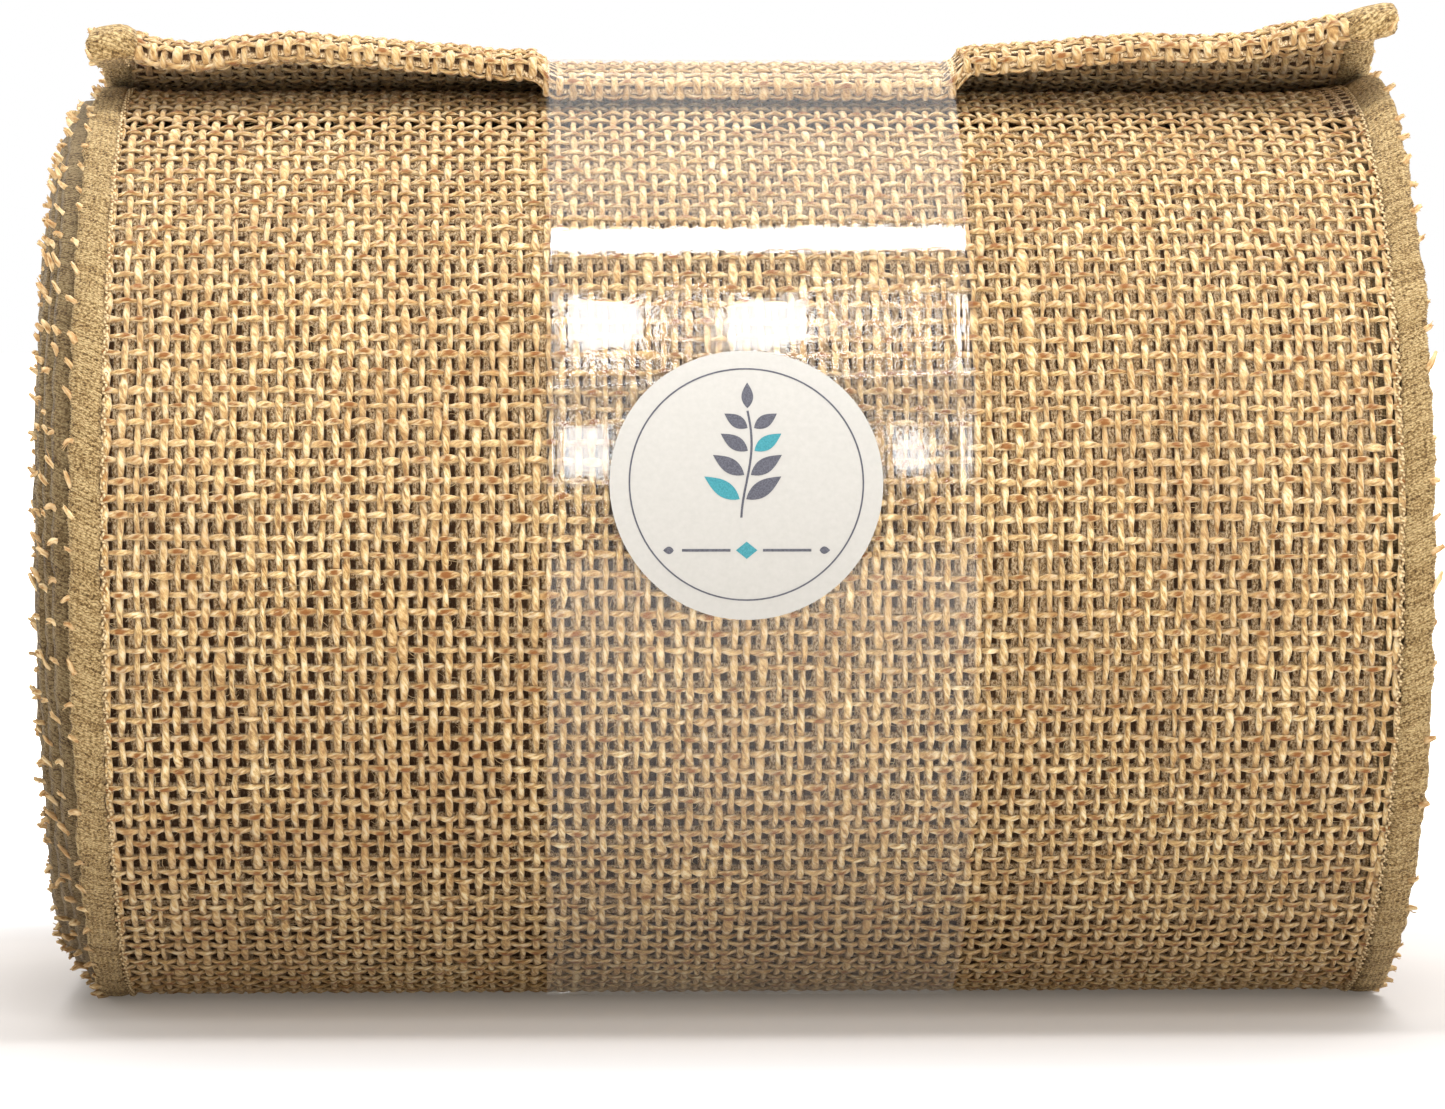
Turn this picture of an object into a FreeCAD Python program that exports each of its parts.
import FreeCAD, Part
import math
import os

# A roll of burlap ribbon with merrowed, wired edges, lying on its side.
# X is the roll's axis, +Z is up, and -Y is the front, where the sticker is.
# The origin is on the surface that the roll rests on, under the middle of its box.
# All sizes are in millimetres and all angles in degrees.

# Ribbon
ribbon_width = 254.0
cloth_thickness = 1.1
winding_turns = 25
inner_end_angle = 44.0        # where the ribbon starts on the core

# Merrowed edges
edge_width = 6.0
edge_thickness = 2.45
edge_skin = 0.6               # thread outside the edge wire
wire_diameter = 0.6
wire_clearance = 0.05
cloth_clearance = 0.03        # between the cloth and the thread that wraps it
needle_thread_width = 0.6
needle_thread_height = 0.35

# Core
core_bore_diameter = 38.1
core_wall = 3.0
core_end_recess = 1.0         # how far each end of the tube lies inside the roll
core_clearance = 0.05         # between the tube and the first merrowed edge
tape_width = 16.0
tape_end_margin = 20.0        # bare ribbon past each end of the tape

# Winding
winding_slack = 0.31          # air between a merrowed edge and the next turn
flat_half_width = 14.0        # the outer turn's flat, where the roll rests
flat_depth = 2.0              # how far the outer turn is pressed up there

# Hem at the free end
hem_fold_height = 72.3        # angle of the fold's centre above the front horizontal
hem_fold_radius = 1.7         # middle of the cloth
hem_tuck = 12.0               # length turned under
hem_ramp_radius = 20.0
hem_ramp_clearance = 1.5      # along the roll, between the tuck's end and the ramp

# Film band
band_width = 80.0
band_offset = 1.4             # of its middle from the middle of the roll, along X
film_thickness = 0.15
film_clearance = 0.3          # from the cloth and the hem
film_overlap = 20.0
film_end_height = 9.5         # angle of the film's outer end above the front horizontal

# Sticker
sticker_diameter = 50.8
sticker_thickness = 0.15
sticker_height = 9.1          # angle of its centre above the front horizontal
sticker_offset = -1.6         # of its centre from the middle of the roll, along X

# Sizes that follow
half_cloth = cloth_thickness / 2
half_edge = edge_thickness / 2
core_radius = core_bore_diameter / 2 + core_wall
pitch = edge_thickness + winding_slack
first_radius = core_radius + core_clearance + half_edge
centre_shift = pitch / 2      # each lower half-turn is centred this far behind the axis
front_radius = first_radius + (winding_turns - 1) * pitch
last_radius = front_radius + pitch
axis_y = -centre_shift
axis_z = front_radius + centre_shift - flat_depth + half_edge
edge_x = ribbon_width / 2
wire_outer_x = edge_x - edge_skin
cloth_x = wire_outer_x - wire_diameter - 2 * wire_clearance
edge_inner_x = edge_x - edge_width
film_inner = half_cloth + film_clearance
film_outer = film_inner + film_thickness

# A path is a list of tangent segments in the YZ plane, about the roll's axis.
# It runs outwards from the core, anticlockwise seen from +X, with the roll on its left.


def polar(centre, radius, angle):
    turn = math.radians(angle)
    return (centre[0] + radius * math.cos(turn), centre[1] + radius * math.sin(turn))


def arc(centre, radius, start, end):
    return {"centre": centre, "radius": radius, "start": start, "end": end}


def line(start, end):
    return {"from": start, "to": end}


def place(point, x):
    return FreeCAD.Vector(x, axis_y + point[0], axis_z + point[1])


def segment_points(segment, offset):
    """Start, middle and end of a segment moved sideways, to the right of its travel."""
    if "from" in segment:
        (y0, z0), (y1, z1) = segment["from"], segment["to"]
        length = math.hypot(y1 - y0, z1 - z0)
        shift = (offset * (z1 - z0) / length, -offset * (y1 - y0) / length)
        start = (y0 + shift[0], z0 + shift[1])
        end = (y1 + shift[0], z1 + shift[1])
        return start, None, end
    side = 1 if segment["end"] > segment["start"] else -1
    radius = segment["radius"] + side * offset
    middle = (segment["start"] + segment["end"]) / 2
    return tuple(polar(segment["centre"], radius, angle)
                 for angle in (segment["start"], middle, segment["end"]))


def segment_edge(segment, offset, x):
    start, middle, end = segment_points(segment, offset)
    if middle is None:
        return Part.makeLine(place(start, x), place(end, x))
    return Part.Arc(place(start, x), place(middle, x), place(end, x)).toShape()


def path_length(path):
    return sum(segment_edge(segment, 0, 0).Length for segment in path)


def strip(path, inner, outer, x_start, x_end):
    """Closed solid between two offsets of an open path."""
    edges = [segment_edge(segment, outer, x_start) for segment in path]
    last_outer = segment_points(path[-1], outer)[2]
    last_inner = segment_points(path[-1], inner)[2]
    edges.append(Part.makeLine(place(last_outer, x_start), place(last_inner, x_start)))
    edges += [segment_edge(segment, inner, x_start) for segment in reversed(path)]
    first_inner = segment_points(path[0], inner)[0]
    first_outer = segment_points(path[0], outer)[0]
    edges.append(Part.makeLine(place(first_inner, x_start), place(first_outer, x_start)))
    return Part.Face(Part.Wire(edges)).extrude(FreeCAD.Vector(x_end - x_start, 0, 0))


def loop(path, inner, outer, x_start, x_end):
    """Closed ring between two offsets of a closed path."""
    outer_wire = Part.Wire([segment_edge(segment, outer, x_start) for segment in path])
    inner_wire = Part.Wire([segment_edge(segment, inner, x_start) for segment in path])
    travel = FreeCAD.Vector(x_end - x_start, 0, 0)
    return Part.Face(outer_wire).extrude(travel).cut(Part.Face(inner_wire).extrude(travel))


def lower_half(turn):
    """Lower half of one turn, flattened at the bottom, less and less towards the core."""
    share = (turn + 1) / winding_turns
    depth = flat_depth * share
    half_flat = flat_half_width * share
    radius = first_radius + turn * pitch + centre_shift
    shoulder = radius - depth / 2 - half_flat ** 2 / (2 * depth)
    drop = radius - depth - shoulder
    lean = math.degrees(math.atan2(half_flat, drop))
    middle = (centre_shift, 0)
    front = (centre_shift - half_flat, -drop)
    back = (centre_shift + half_flat, -drop)
    return [
        arc(middle, radius, 180, 270 - lean),
        arc(front, shoulder, 270 - lean, 270),
        line(polar(front, shoulder, 270), polar(back, shoulder, 270)),
        arc(back, shoulder, 270, 270 + lean),
        arc(middle, radius, 270 + lean, 360),
    ]


def hem_path():
    """Last stretch of the ribbon: over the top, up a ramp, round the fold and back under."""
    axis = (0, 0)
    fold_angle = 180 - hem_fold_height
    tuck_end = fold_angle - math.degrees(hem_tuck / last_radius)
    ramp_end = tuck_end - math.degrees(hem_ramp_clearance / last_radius)
    raised = last_radius + 2 * hem_fold_radius
    rise_centre = last_radius + hem_ramp_radius
    crest_centre = raised - hem_ramp_radius
    joined = 2 * hem_ramp_radius
    cosine = (rise_centre ** 2 + crest_centre ** 2 - joined ** 2) / (2 * rise_centre * crest_centre)
    ramp_start = ramp_end - math.degrees(math.acos(cosine))
    rise = polar(axis, rise_centre, ramp_start)
    crest = polar(axis, crest_centre, ramp_end)
    join = math.degrees(math.atan2(rise[1] - crest[1], rise[0] - crest[0]))
    fold = polar(axis, last_radius + hem_fold_radius, fold_angle)
    return [
        arc(axis, last_radius, 0, ramp_start),
        arc(rise, hem_ramp_radius, ramp_start + 180, join + 180),
        arc(crest, hem_ramp_radius, join, ramp_end),
        arc(axis, raised, ramp_end, fold_angle),
        arc(fold, hem_fold_radius, fold_angle, fold_angle + 180),
        arc(axis, last_radius, fold_angle, tuck_end),
    ]


def ribbon_path():
    path = [arc((0, 0), first_radius, inner_end_angle, 180)]
    path += lower_half(0)
    for turn in range(1, winding_turns):
        path.append(arc((0, 0), first_radius + turn * pitch, 0, 180))
        path += lower_half(turn)
    return path + hem_path()


def tangent_angle(start, start_radius, end, end_radius):
    """Direction from each centre to the line that touches both circles on their outer side."""
    y, z = end[0] - start[0], end[1] - start[1]
    gap = math.hypot(y, z)
    angle = math.atan2(z, y) - math.acos((start_radius - end_radius) / gap)
    return math.degrees(angle) % 360


def band_path():
    """Tight closed line round the roll and over the hem, at the film's inner face."""
    crest, top, fold = hem_path()[2:5]
    axis = (0, 0)
    outer_turn = last_radius + film_inner
    front_turn = front_radius + film_inner
    crest_radius = crest["radius"] + film_inner
    fold_radius = fold["radius"] + film_inner
    rise_angle = tangent_angle(axis, outer_turn, crest["centre"], crest_radius)
    fall_angle = tangent_angle(fold["centre"], fold_radius, axis, front_turn)
    lower = [dict(segment) for segment in lower_half(winding_turns - 1)]
    for segment in lower:
        if "radius" in segment:
            segment["radius"] += film_inner
        else:
            start, _, end = segment_points(segment, film_inner)
            segment["from"], segment["to"] = start, end
    return lower + [
        arc(axis, outer_turn, 0, rise_angle),
        line(polar(axis, outer_turn, rise_angle),
             polar(crest["centre"], crest_radius, rise_angle)),
        arc(crest["centre"], crest_radius, rise_angle, crest["end"]),
        arc(axis, top["radius"] + film_inner, top["start"], top["end"]),
        arc(fold["centre"], fold_radius, fold["start"], fall_angle),
        line(polar(fold["centre"], fold_radius, fall_angle),
             polar(axis, front_turn, fall_angle)),
        arc(axis, front_turn, fall_angle, 180),
    ]


def ring_sector(inner_radius, outer_radius, start, end, x_start, x_end):
    path = [arc((0, 0), inner_radius, start, end)]
    return strip(path, 0, outer_radius - inner_radius, x_start, x_end)


def make_core_tube():
    length = ribbon_width - 2 * core_end_recess
    base = place((0, 0), -length / 2)
    along = FreeCAD.Vector(1, 0, 0)
    tube = Part.makeCylinder(core_radius, length, base, along)
    return tube.cut(Part.makeCylinder(core_bore_diameter / 2, length, base, along))


def make_inner_end_tape():
    outer_radius = first_radius - half_cloth
    end = inner_end_angle + math.degrees(tape_width / core_radius)
    half_length = ribbon_width / 2 - tape_end_margin
    return ring_sector(core_radius, outer_radius, inner_end_angle, end, -half_length, half_length)


def make_merrowed_edge(path, side):
    """Thread wrapped round one edge of the ribbon, open inwards for the cloth."""
    slot = half_cloth + cloth_clearance
    channel = wire_diameter / 2 + wire_clearance
    solids = [strip(path, -half_edge, half_edge, side * wire_outer_x, side * edge_x)]
    for near, far, opening in ((cloth_x, wire_outer_x, channel), (edge_inner_x, cloth_x, slot)):
        solids.append(strip(path, -half_edge, -opening, side * near, side * far))
        solids.append(strip(path, opening, half_edge, side * near, side * far))
    return solids[0].multiFuse(solids[1:]).removeSplitter()


def make_edge_wire(path, side):
    x = side * (wire_outer_x - wire_clearance - wire_diameter / 2)
    half_wire = wire_diameter / 2
    return strip(path, -half_wire, half_wire, x - half_wire, x + half_wire)


def make_needle_thread(path, side):
    start = side * (edge_inner_x - cloth_clearance)
    end = start - side * needle_thread_width
    return strip(path, half_cloth, half_cloth + needle_thread_height, start, end)


def make_film_band():
    """Film strip round the middle of the roll, with its outer end lapped over its inner end."""
    left = band_offset - band_width / 2
    right = band_offset + band_width / 2
    ring = loop(band_path(), 0, film_thickness, left, right)
    lap_radius = front_radius + film_outer
    lap_end = 180 - film_end_height
    lap_start = lap_end - math.degrees(film_overlap / lap_radius)
    lap = ring_sector(lap_radius, lap_radius + film_thickness, lap_start, lap_end, left, right)
    return ring.fuse(lap).removeSplitter()


def make_sticker_label(film_band):
    """Round paper sticker, half on the film's outer end and half on the film below it."""
    inner_radius = front_radius + film_outer
    outer_radius = inner_radius + film_thickness + sticker_thickness
    centre = 180 - sticker_height
    half_angle = math.degrees(math.asin(sticker_diameter / 2 / inner_radius)) + 1
    half_width = sticker_diameter
    patch = ring_sector(inner_radius, outer_radius, centre - half_angle, centre + half_angle,
                        sticker_offset - half_width, sticker_offset + half_width)
    outwards = polar((0, 0), 1, centre)
    punch = Part.makeCylinder(sticker_diameter / 2, 2 * outer_radius,
                              place((0, 0), sticker_offset),
                              FreeCAD.Vector(0, outwards[0], outwards[1]))
    return patch.common(punch).cut(film_band)


def main():
    path = ribbon_path()
    film_band = make_film_band()
    nodes = {
        "core_tube": make_core_tube(),
        "inner_end_tape": make_inner_end_tape(),
        "ribbon_cloth": strip(path, -half_cloth, half_cloth, -cloth_x, cloth_x),
        "film_band": film_band,
        "sticker_label": make_sticker_label(film_band),
    }
    for name, side in (("left", -1), ("right", 1)):
        nodes[name + "_merrowed_edge"] = make_merrowed_edge(path, side)
        nodes[name + "_edge_wire"] = make_edge_wire(path, side)
        nodes[name + "_needle_thread"] = make_needle_thread(path, side)
    os.makedirs("parts", exist_ok=True)
    for name, shape in nodes.items():
        solids = shape.Solids
        solid = solids[0] if len(solids) == 1 else Part.makeCompound(solids)
        solid.exportStep("parts/" + name + ".step")
        print(name, len(solids), "solid", "valid" if shape.isValid() else "NOT VALID",
              round(shape.Volume, 1), "mm3")
    print("pitch", round(pitch, 3), "front radius", round(front_radius, 2))
    print("ribbon length", round(path_length(path), 1))
    print("film loop", round(path_length(band_path()), 1))


main()
